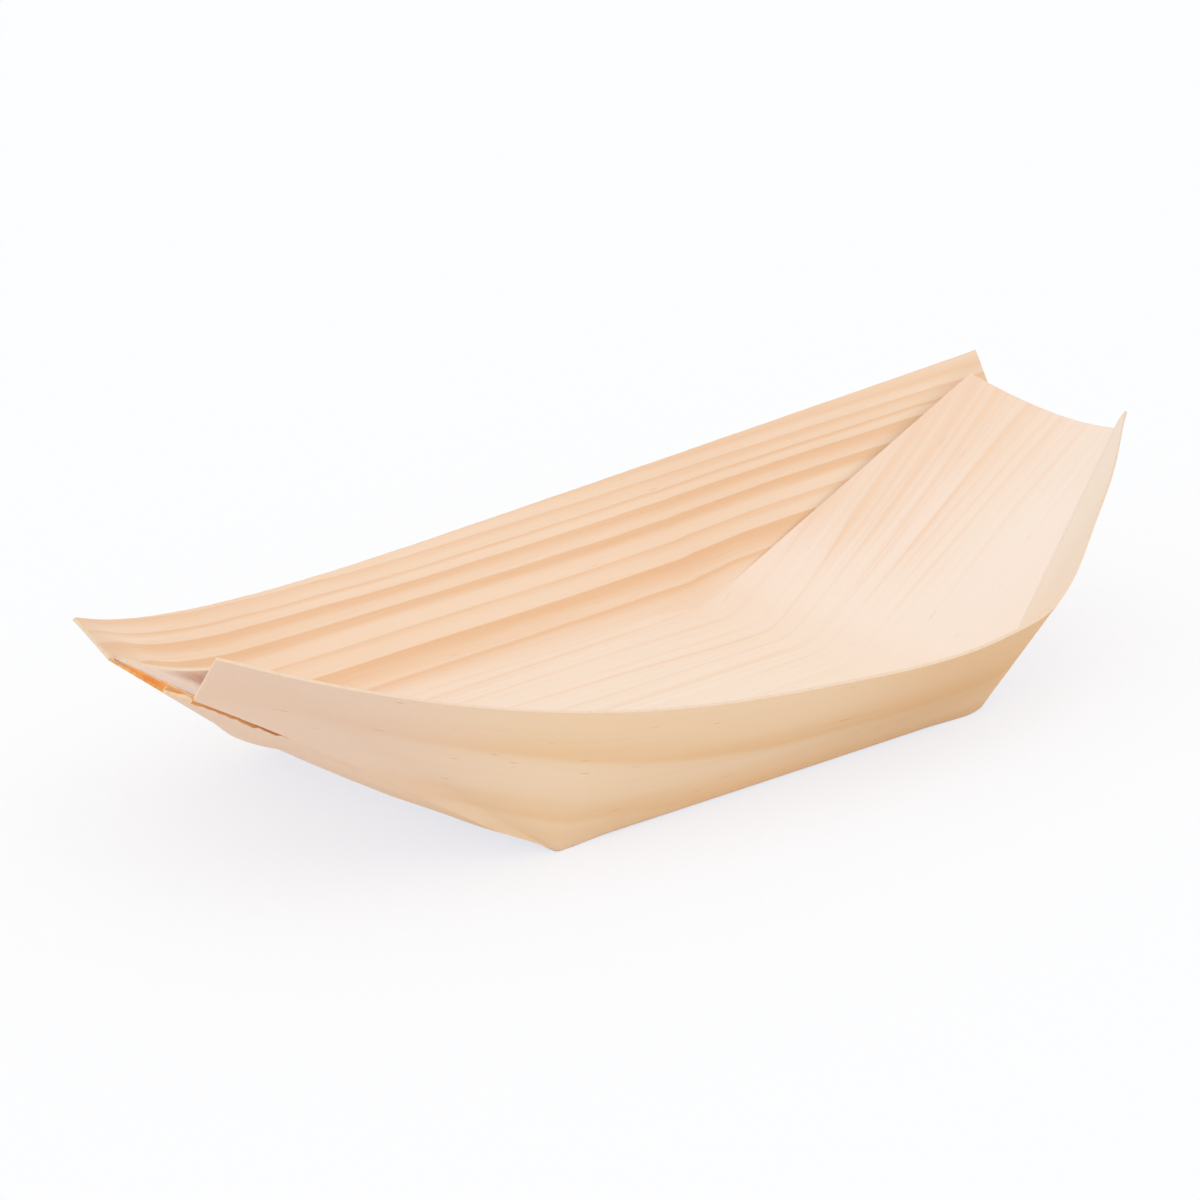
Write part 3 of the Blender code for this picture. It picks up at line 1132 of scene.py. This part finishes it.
@dataclass
class Grain:
    """A finish's tree with the flat blank's coordinates, in units of 100 mm, and its fibres."""

    graph: Graph
    fine_waves: Waves = Waves(1.6, 55.0, 3.0, 3.0)
    hair_waves: Waves = Waves(5.0, 210.0, 4.0)
    sway_waves: Waves = Waves(0.5, 3.2, 6.0)
    dash_waves: Waves = Waves(16.0, 150.0, 9.0, 1.0)
    mean: float = 0.5
    half_length: float = 1.18
    wall_span: float = 0.30

    def __post_init__(self) -> None:
        """Reads the coordinates along and across, and lays fibres about 2 and 0.5 mm apart."""
        place = self.graph.node("ShaderNodeUVMap", {"uv_map": FLAT_MAP}, {})
        axes = (self.graph.node("ShaderNodeSeparateXYZ", {}, {0: place}, axis) for axis in (0, 1))
        self.run, self.across = axes
        self.fine, self.hair = self.noise(self.fine_waves), self.noise(self.hair_waves)

    def noise(self, waves: Waves) -> Value:
        """Smooth noise over the flat blank.

        Args:
            waves: How it is stretched.

        Returns:
            A value from 0 to 1, about its mean.
        """
        stretched = {0: self.run * waves.along, 1: self.across * waves.across, 2: waves.seed}
        place = self.graph.node("ShaderNodeCombineXYZ", {}, stretched)
        sockets = {"Vector": place, "Scale": 1.0, "Detail": waves.detail}
        return self.graph.node("ShaderNodeTexNoise", {}, sockets)

    def swing(self, waves: Waves) -> Value:
        """Smooth noise about zero."""
        return self.noise(waves) - self.mean

    def fibres(self, fine: float, hair: float) -> Value:
        """Both kinds of fibre about zero, each at its own strength."""
        return (self.fine - self.mean) * fine + (self.hair - self.mean) * hair

    def streaks(self, row: Streaks, wander: Value) -> Value:
        """Place within a streak, 0 to 1, of a row that wanders with a noise."""
        return (self.across * row.rate + wander * row.sway + row.shift).math("FRACT")

    def dashes(self, step: Step) -> Value:
        """Short thin fibres that stand out darker."""
        return self.graph.rise(self.noise(self.dash_waves), step)


@dataclass(frozen=True)
class VeneerFinish:
    """Ground of the veneer's finishes: fine fibres along the grain in bump and roughness."""

    name: str
    roughness: float = 0.62
    roughness_swing: float = 0.16
    gloss: float = 0.22
    bump_strength: float = 0.22
    bump_depth: float = 0.00012
    bump_hair: float = 0.6
    bump_fine: float = 0.4
    # Strength of a painted glow.
    glow: float = 0.0

    def colour(self, grain: Grain) -> Value:
        """The finish's own colour over the flat blank."""
        raise NotImplementedError

    def material(self) -> bpy.types.Material:
        """Builds the finish: its colour, with the wood's fibres in bump and roughness.

        Returns:
            The new material.
        """
        material = bpy.data.materials.new(self.name)
        graph = Graph(material)
        grain = Grain(graph)
        colour = self.colour(grain)
        height = grain.hair * self.bump_hair + grain.fine * self.bump_fine
        bump = {"Strength": self.bump_strength, "Distance": self.bump_depth, "Height": height}
        sockets = {
            "Base Color": colour,
            "Roughness": self.roughness + self.roughness_swing * (grain.fine - grain.mean),
            "Specular IOR Level": self.gloss,
            "Normal": graph.node("ShaderNodeBump", {}, bump),
        }
        # Painted glow: emission that stands in for light shining through the thin wood.
        if self.glow:
            sockets |= {"Emission Color": colour, "Emission Strength": self.glow}
        shader = graph.node("ShaderNodeBsdfPrincipled", {}, sockets)
        graph.node("ShaderNodeOutputMaterial", {}, {"Surface": shader})
        return material


@dataclass(frozen=True)
class InsideFace(VeneerFinish):
    """The boat's inside: orange growth rings along the walls, paler streaks over floor and ends."""

    wall_pale: Colour = paint(250, 225, 200)
    wall_dark: Colour = paint(241, 199, 159)
    far_front: Colour = paint(243, 227, 210)
    # Painted shade: darker colour for the inside walls' left tips.
    painted_tip_shade: Colour = paint(230, 196, 166)
    floor_pale: Colour = paint(249, 231, 213)
    floor_warm: Colour = paint(246, 217, 191)
    end_pale: Colour = paint(252, 236, 222)
    end_warm: Colour = paint(248, 217, 190)
    fibre: Colour = paint(222, 170, 122)
    rear_rim: float = 0.675
    front_rim: float = 0.705
    front_stretch: float = -0.8
    ring_drift: Waves = Waves(1.3, 3.0, 1.0)
    drift_depth: float = 0.07
    ring_slope: float = 0.089
    ring_gather: float = 0.168
    ring_margin: float = 0.1
    ring_reach: float = 1.2
    rear_half: Step = Step(-0.05, 0.05)
    bare_part: Step = Step(0.50, 0.85)
    bare_cover: float = 0.9
    front_rings: float = 0.35
    bare_loss: float = 0.30
    right_warmth: Step = Step(0.3, 0.9, 0.0, 0.12)
    # Painted shade: more warmth, so darker wood, towards the left end.
    left_painted_shade: Step = Step(-1.1, -0.5, 0.18, 0.0)
    wall_fibres: tuple[float, float] = (0.50, 0.30)
    wall_mix: Step = Step(0.0, 1.1)
    # Where the painted shade of the left tips sets in.
    tip_shade_fade: Step = Step(-1.22, -0.92, 0.45, 0.0)
    wide_streaks: Streaks = Streaks(15.0, 3.4, 0.0, 0.60)
    thin_streaks: Streaks = Streaks(43.0, 7.0, 0.3, 0.40)
    rear_strength: Step = Step(-0.36, -0.05, 0.35, 1.0)
    patches: Waves = Waves(0.9, 9.0, 8.0)
    patch_strength: Step = Step(0.35, 0.65, 0.4, 1.1)
    end_part: Step = Step(0.60, 0.85)
    level_part: Step = Step(0.42, 0.56, 1.0, 0.0)
    right_end: Step = Step(0.48, 0.66, 0.0, 0.75)
    front_half: Step = Step(-0.17, -0.03, 1.0, 0.0)
    line_strength: float = 0.6
    level_lines: float = 0.6
    end_lines: float = 0.35
    floor_fibres: tuple[float, float] = (0.45, 0.25)
    rear_side: Step = Step(0.05, 0.36)
    level_side: float = 0.14
    end_side: float = 0.25
    top_rear: Step = Step(-0.26, 0.06, 0.0, 0.30)
    top_edge: Step = Step(0.85, 1.12, 0.0, 0.20)
    bend_zone: Step = Step(0.50, 0.62)
    floor_mix: Step = Step(0.0, 1.0)
    crease_zone: Step = Step(0.345, 0.435)
    dash_cover: Step = Step(0.74, 0.80, 0.0, 0.28)
    rings: Stops = (
        (0.0, 0.30), (0.073, 0.50), (0.108, 0.15), (0.138, 0.18), (0.141, 0.65), (0.192, 0.20),
        (0.218, 0.18), (0.221, 0.75), (0.250, 0.12), (0.286, 0.15), (0.292, 0.90), (0.320, 0.75),
        (0.360, 0.28), (0.398, 0.20), (0.404, 0.95), (0.433, 0.85), (0.485, 0.10), (0.540, 0.10),
        (0.547, 0.65), (0.600, 0.12), (0.652, 0.14), (0.658, 1.0), (0.695, 0.85), (0.745, 0.45),
        (0.796, 0.30), (0.803, 0.95), (0.835, 0.50), (0.870, 0.28), (0.95, 0.20),
    )
    streak: Stops = (
        (0.0, 0.15), (0.10, 0.05), (0.60, 0.18), (0.85, 0.55), (0.955, 1.0), (1.0, 0.15),
    )

    def ring(self, grain: Grain, run: Value, below_rim: Value, drift: Value) -> Value:
        """A wall's growth rings: bands that draw together to the right, sharp on their rim side.

        Args:
            grain: The finish's tree.
            run: Place along the grain.
            below_rim: Distance below the rim.
            drift: Slow noise about zero.

        Returns:
            How warm the wood is, 0 to 1.
        """
        level, depth = run * (1 / grain.half_length), below_rim * (1 / grain.wall_span)
        place = depth - level * self.ring_slope + drift * self.drift_depth
        place = place / (1.0 - level * self.ring_gather)
        return grain.graph.ramp((place + self.ring_margin) * (1 / self.ring_reach), self.rings)

    def walls(self, grain: Grain) -> Value:
        """Rings on both walls, faint on the front, bare at its right end; painted shade at left.

        Args:
            grain: The finish's tree.

        Returns:
            The walls' colour.
        """
        rise, blend = grain.graph.rise, grain.graph.blend
        run, across = grain.run, grain.across
        drift = grain.swing(self.ring_drift)
        rear = self.ring(grain, run, self.rear_rim - across, drift)
        front = self.ring(grain, run * self.front_stretch, self.front_rim + across, drift)
        is_rear = rise(across, self.rear_half)
        bare = rise(run, self.bare_part) * (1 - is_rear)
        warmth = front * (1 - is_rear) * (self.front_rings - bare * self.bare_loss) + rear * is_rear
        # The left step adds painted shade towards the left end.
        warmth = warmth + rise(run, self.right_warmth) + rise(run, self.left_painted_shade)
        warmth = warmth + grain.fibres(*self.wall_fibres)
        colour = blend(rise(warmth, self.wall_mix), self.wall_pale, self.wall_dark)
        colour = blend(bare * self.bare_cover, colour, self.far_front)
        # Painted shade at the left tips.
        return blend(rise(run, self.tip_shade_fade), colour, self.painted_tip_shade)

    def floor(self, grain: Grain) -> Value:
        """Streaks in patches over base and ends, stronger to the rear and calm at the right front.

        Args:
            grain: The finish's tree.

        Returns:
            The floor's colour.
        """
        rise, blend = grain.graph.rise, grain.graph.blend
        run, across, out = grain.run, grain.across, abs(grain.run)
        wander = grain.noise(grain.sway_waves)
        rows = (self.wide_streaks, self.thin_streaks)
        wide, thin = (
            grain.graph.ramp(grain.streaks(row, wander), self.streak) * row.share for row in rows
        )
        ends, level = rise(out, self.end_part), rise(out, self.level_part)
        calm = 1 - rise(run, self.right_end) * rise(across, self.front_half)
        drawn = level * self.level_lines + ends * self.end_lines + self.line_strength
        drawn = drawn * rise(across, self.rear_strength) * calm
        drawn = drawn * rise(grain.noise(self.patches), self.patch_strength)
        warmth = (wide + thin) * drawn + grain.fibres(*self.floor_fibres)
        beside = ends * self.end_side + level * self.level_side
        warmth = warmth + rise(across, self.rear_side) * beside
        warmth = warmth + ends * rise(across, self.top_rear) + rise(out, self.top_edge)
        bend = rise(out, self.bend_zone)
        pale = blend(bend, self.floor_pale, self.end_pale)
        warm = blend(bend, self.floor_warm, self.end_warm)
        return blend(rise(warmth, self.floor_mix), pale, warm)

    def colour(self, grain: Grain) -> Value:
        """Floor and walls with a soft change over the crease, and a few dark fibres.

        Args:
            grain: The finish's tree.

        Returns:
            The whole inside's colour.
        """
        zone = grain.graph.rise(abs(grain.across), self.crease_zone)
        ground = grain.graph.blend(zone, self.floor(grain), self.walls(grain))
        return grain.graph.blend(grain.dashes(self.dash_cover), ground, self.fibre)


@dataclass(frozen=True)
class OutsideFace(VeneerFinish):
    """The boat's outside: broad soft bands, darker at their lower edge, painted bounce light low.
    """

    pale: Colour = paint(245, 219, 189)
    dark: Colour = paint(237, 195, 145)
    rosy: Colour = paint(232, 203, 185)
    # Painted light: a golden colour that stands in for light bounced up from the floor onto the low
    # walls.
    bounce_light_colour: Colour = paint(255, 217, 171)
    ochre: Colour = paint(226, 184, 136)
    floor_pale: Colour = paint(250, 227, 211)
    floor_warm: Colour = paint(245, 207, 182)
    fibre: Colour = paint(196, 140, 92)
    rim: float = 0.675
    band_reach: float = 1.35
    band_sink: Step = Step(-0.6, 0.05, 0.27, 0.0)
    band_drift: Waves = Waves(1.2, 3.0, 11.0)
    drift_depth: float = 0.12
    broad: Waves = Waves(0.7, 7.0, 13.0)
    broad_share: float = 0.35
    right_warmth: Step = Step(0.0, 0.7, 0.0, 0.32)
    wall_fibres: tuple[float, float] = (0.30, 0.16)
    wall_mix: Step = Step(0.0, 1.15)
    # Where the painted bounce light sits: low on the walls, near the middle.
    bounce_foot: Step = Step(0.60, 1.0)
    bounce_start: Step = Step(-0.4, -0.1, 0.3, 0.92)
    bounce_end: Step = Step(0.05, 0.5, 1.0, 0.0)
    ochre_start: Step = Step(-0.1, 0.35, 0.0, 0.55)
    ochre_foot: Step = Step(0.65, 0.95, 1.0, 0.0)
    rosy_end: Step = Step(-1.05, -0.55, 0.7, 0.0)
    floor_streaks: Streaks = Streaks(15.0, 3.4, 0.0, 0.3)
    floor_fibres: tuple[float, float] = (0.60, 0.30)
    floor_mix: Step = Step(-0.2, 0.8)
    crease_zone: Step = Step(0.33, 0.40)
    dash_cover: Step = Step(0.72, 0.79, 0.0, 0.4)
    bands: Stops = (
        (0.0, 0.46), (0.10, 0.42), (0.27, 0.50), (0.37, 0.70), (0.415, 0.80), (0.45, 0.36),
        (0.50, 0.22), (0.62, 0.30), (0.70, 0.62), (0.745, 0.74), (0.775, 0.38), (0.87, 0.42),
        (0.97, 0.60),
    )

    def walls(self, grain: Grain) -> Value:
        """Bands by the distance below the rim, sinking to the right, with the corners' own tints.

        Args:
            grain: The finish's tree.

        Returns:
            The walls' colour.
        """
        rise, blend = grain.graph.rise, grain.graph.blend
        level = grain.run * (1 / grain.half_length)
        depth = (self.rim - abs(grain.across)) * (1 / grain.wall_span)
        drift = grain.swing(self.band_drift) * self.drift_depth
        place = depth + rise(level, self.band_sink) + drift
        warmth = grain.graph.ramp(place * (1 / self.band_reach), self.bands)
        warmth = warmth + rise(level, self.right_warmth)
        warmth = warmth + grain.swing(self.broad) * self.broad_share
        warmth = warmth + grain.fibres(*self.wall_fibres)
        colour = blend(rise(warmth, self.wall_mix), self.pale, self.dark)
        # Painted bounce light, golden, low on the walls near the middle.
        painted_bounce = rise(level, self.bounce_start) * rise(level, self.bounce_end)
        colour = blend(painted_bounce * rise(depth, self.bounce_foot), colour, self.bounce_light_colour)
        ochre = rise(level, self.ochre_start) * rise(depth, self.ochre_foot)
        colour = blend(ochre, colour, self.ochre)
        return blend(rise(grain.run, self.rosy_end), colour, self.rosy)

    def colour(self, grain: Grain) -> Value:
        """Bands on the walls, fine streaks under the floor, and a few dark fibres.

        Args:
            grain: The finish's tree.

        Returns:
            The whole outside's colour.
        """
        rise, blend = grain.graph.rise, grain.graph.blend
        row = self.floor_streaks
        warmth = grain.streaks(row, grain.noise(grain.sway_waves)) * row.share
        warmth = warmth + grain.fibres(*self.floor_fibres)
        floor = blend(rise(warmth, self.floor_mix), self.floor_pale, self.floor_warm)
        ground = blend(rise(abs(grain.across), self.crease_zone), floor, self.walls(grain))
        return blend(grain.dashes(self.dash_cover), ground, self.fibre)


@dataclass(frozen=True, kw_only=True)
class PatchyFinish(VeneerFinish):
    """Ground of the finishes between two colours, in patches that the fine fibres share in."""

    pale: Colour
    dark: Colour
    patches: Waves
    patch_mix: Step
    fibre_share: float = 0.0

    def colour(self, grain: Grain) -> Value:
        """Patches of the two colours."""
        amount = grain.noise(self.patches) * (1 - self.fibre_share) + grain.fine * self.fibre_share
        return grain.graph.blend(grain.graph.rise(amount, self.patch_mix), self.pale, self.dark)


@dataclass(frozen=True)
class CutEdge(PatchyFinish):
    """The cut edge of the sheet: pale end fibres with short darker pores."""

    pale: Colour = paint(243, 218, 192)
    dark: Colour = paint(222, 184, 146)
    patches: Waves = Waves(60.0, 160.0, 21.0, 3.0)
    patch_mix: Step = Step(0.45, 0.80, 0.0, 0.4)


@dataclass(frozen=True)
class PaintedFoldGlow(PatchyFinish):
    """The inside of a folded corner: painted orange light and glow for light through the wood."""

    pale: Colour = paint(244, 190, 118)
    dark: Colour = paint(230, 148, 66)
    patches: Waves = Waves(2.0, 9.0, 23.0)
    patch_mix: Step = Step(0.3, 0.7)
    fibre_share: float = 0.5


@dataclass(frozen=True)
class FoldLining(PaintedFoldGlow):
    """The inside of the split corner: paler with painted daylight let in by the open split."""

    # Painted light: paler colours for daylight in the open split.
    pale: Colour = paint(246, 214, 172)
    dark: Colour = paint(236, 186, 130)


@dataclass(frozen=True)
class TornEdge(PaintedFoldGlow):
    """The torn edge of the split corner: brown fibres, darkened by painted shade of the crack."""

    # Partly painted: the crack's shade and orange glow, over brown torn fibres.
    pale: Colour = paint(232, 172, 112)
    dark: Colour = paint(200, 128, 66)


@dataclass(frozen=True)
class DriedGlue(PatchyFinish):
    """A smear of dried glue: amber, thinner and paler in patches."""

    pale: Colour = paint(240, 212, 160)
    dark: Colour = paint(204, 150, 84)
    patches: Waves = Waves(22.0, 22.0, 31.0, 3.0)
    patch_mix: Step = Step(0.35, 0.65)


@dataclass
class Studio:
    """White floor, soft light and the camera at the photograph's viewing angle."""

    camera_place: Point = (-0.70922, -0.80594, 0.42177)
    yaw: float = math.radians(40.993)
    pitch: float = math.radians(20.309)
    lens: float = 185.86
    sensor: float = 36.0
    clip: tuple[float, float] = (0.05, 50.0)
    sky: float = 0.90
    sky_tint: Colour = (1.0, 1.0, 1.0, 1.0)
    sun: float = 0.30
    sun_angle: float = math.radians(60)
    sun_aim: Point = (0.10, 0.15, -1.0)
    white: Colour = (0.985, 0.99, 1.0, 1.0)
    shade_tint: Colour = (1.0, 0.90, 0.75, 1.0)
    glow_tint: Colour = (0.977, 1.036, 1.129, 1.0)
    floor_half: float = 6.0
    floor_white_share: float = 0.66

    def camera(self) -> None:
        """Looks along the yaw and pitch, level, with a long lens."""
        data = bpy.data.cameras.new("camera")
        data.lens, data.sensor_width = self.lens, self.sensor
        data.clip_start, data.clip_end = self.clip
        level, drop = math.cos(self.pitch), -math.sin(self.pitch)
        away = Vector((math.sin(self.yaw) * level, math.cos(self.yaw) * level, drop))
        turn = away.to_track_quat("-Z", "Y").to_matrix().to_4x4()
        camera = link("camera", data)
        camera.matrix_world = Matrix.Translation(self.camera_place) @ turn
        bpy.context.scene.camera = camera

    def seen(self, graph: Graph) -> Value:
        """Tells the rays that show the background from the light that falls on things.

        Args:
            graph: The tree of a world or a floor.

        Returns:
            1 for rays from the camera, from gloss and through glass, and 0 for the others.
        """
        rays = ("Is Camera Ray", "Is Glossy Ray", "Is Transmission Ray")
        camera, glossy, through = (graph.node("ShaderNodeLightPath", {}, {}, ray) for ray in rays)
        return camera.math("MAXIMUM", glossy).math("MAXIMUM", through)

    def light(self) -> None:
        """A bright even sky, white where seen, and one wide soft sun from the front and above."""
        world = bpy.data.worlds.new("studio")
        bpy.context.scene.world = world
        graph = Graph(world)
        sky = graph.node("ShaderNodeBackground", {}, {"Color": self.sky_tint, "Strength": self.sky})
        white = graph.node("ShaderNodeBackground", {}, {"Color": self.white, "Strength": 1.0})
        mixed = graph.node("ShaderNodeMixShader", {}, {0: self.seen(graph), 1: sky, 2: white})
        graph.node("ShaderNodeOutputWorld", {}, {"Surface": mixed})
        lamp = bpy.data.lights.new("key", "SUN")
        lamp.energy, lamp.angle = self.sun, self.sun_angle
        turn = Vector(self.sun_aim).to_track_quat("-Z", "Y")
        link("key", lamp).matrix_world = turn.to_matrix().to_4x4()

    def floor(self) -> None:
        """A wide white floor at the base; two tints keep the shadow neutral beside warm wood."""
        half = self.floor_half
        mesh = bpy.data.meshes.new("floor")
        corners = [(-half, -half, 0), (half, -half, 0), (half, half, 0), (-half, half, 0)]
        mesh.from_pydata(corners, [], [(0, 1, 2, 3)])
        material = bpy.data.materials.new("white_floor")
        graph = Graph(material)
        seen = self.seen(graph)
        tint = graph.blend(seen, self.white, self.shade_tint)
        matt = graph.node("ShaderNodeBsdfDiffuse", {}, {"Color": tint})
        white = graph.node("ShaderNodeEmission", {}, {"Color": self.glow_tint, "Strength": 1.0})
        share = seen * self.floor_white_share
        mixed = graph.node("ShaderNodeMixShader", {}, {0: share, 1: matt, 2: white})
        graph.node("ShaderNodeOutputMaterial", {}, {"Surface": mixed})
        mesh.materials.append(material)
        link("floor", mesh)


@dataclass
class SnackBoat:
    """The whole boat: floor, walls, folds and glue, each with its finishes.

    The slack is how far the split flap of the front-left fold springs out, at stations along it.
    """

    shape: BoatShape
    glue_thickness: float = 0.00006
    slack: Stops = (
        (0.08, 0.0), (0.20, 0.0010), (0.30, 0.0015), (0.40, 0.0022), (0.50, 0.0025),
        (0.60, 0.0026), (0.70, 0.0025), (0.75, 0.0035), (0.80, 0.0040), (0.85, 0.0026),
        (0.90, 0.0018), (0.95, 0.0009), (1.0, -0.0002),
    )

    def dress(self, piece: bpy.types.Object, node: str) -> None:
        """Ties a piece to the frame and reports it.

        Args:
            piece: The piece.
            node: The plain solid that it stands for.
        """
        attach(piece, BODY)
        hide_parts(node)
        LOG.info("%s: %d faces, for %s", piece.name, len(piece.data.polygons), node)

    def folds(self) -> list[CornerFold]:
        """The four corner folds. The left ones differ: the front one is wide and has split.

        Returns:
            The left end's front and rear fold, then the right end's.
        """
        left_front = CornerFold(
            self.shape, EndSide.LEFT, Side.FRONT,
            split=0.0006, ridge_half=0.003, end_drop=0.02, inner_drop=0.35, slack=self.slack,
        )
        left_rear = CornerFold(
            self.shape, EndSide.LEFT, Side.REAR, ridge_half=0.0155, end_drop=0.55, inner_drop=0.60
        )
        right = (CornerFold(self.shape, EndSide.RIGHT, side) for side in Side)
        return [left_front, left_rear, *right]

    def build(self) -> None:
        """Makes every piece in order: floor, walls, then each corner's fold and glue."""
        finishes = (
            InsideFace("veneer_inside"),
            OutsideFace("veneer_outside"),
            CutEdge("veneer_edge"),
            # The fold finishes' colours and glow are painted light shining through the thin wood.
            PaintedFoldGlow("veneer_fold_inside", glow=0.25),
            FoldLining("veneer_fold_lining", glow=0.05),
            TornEdge("veneer_torn_edge", glow=0.06),
            DriedGlue("dried_glue", roughness=0.35, gloss=0.5),
        )
        materials = [finish.material() for finish in finishes]
        inside, outside, edge, painted_glow, lining, torn, amber = materials
        thick = self.shape.veneer
        walls = {side: SideWall(self.shape, side) for side in Side}
        floor = FloorPanel(self.shape, walls[Side.FRONT], walls[Side.REAR])
        sheets = {"floor_panel": floor.sheet()}
        sheets |= {f"{side.name.lower()}_wall": wall.sheet() for side, wall in walls.items()}
        for name, sheet in sheets.items():
            slot = Slot.PALE_VENEER if name == "floor_panel" else Slot.WARM_VENEER
            # The walls' tucked cells take the painted glow.
            piece = sheet.object(f"veneer_{name}", thick, [inside, outside, edge, painted_glow])
            self.dress(piece, name)
        for fold in self.folds():
            corner = f"{fold.side.name.lower()}_{fold.end.name.lower()}"
            coats = [inside, outside, edge, inside]
            if fold.split:
                coats = [lining, outside, lining, torn]
            elif fold.end is EndSide.LEFT:
                # The left folds' inner faces and edges take the painted glow.
                coats = [painted_glow, outside, painted_glow, painted_glow]
            piece = fold.sheet().object(f"veneer_{corner}_fold", thick, coats)
            self.dress(piece, f"{corner}_corner_fold")
            for film in Film:
                smear, name = fold.glue(film), f"{film.value}_glue_{corner}"
                piece = smear.object(name, self.glue_thickness, [amber] * 3)
                self.dress(piece, f"{corner}_{film.value}_glue")


def main() -> None:
    """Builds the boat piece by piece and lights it."""
    logging.basicConfig(level=logging.INFO, format="%(message)s")
    bpy.context.scene.view_settings.view_transform = "Standard"
    SnackBoat(BoatShape()).build()
    studio = Studio()
    studio.floor()
    studio.light()
    studio.camera()


if __name__ == "__main__":
    main()
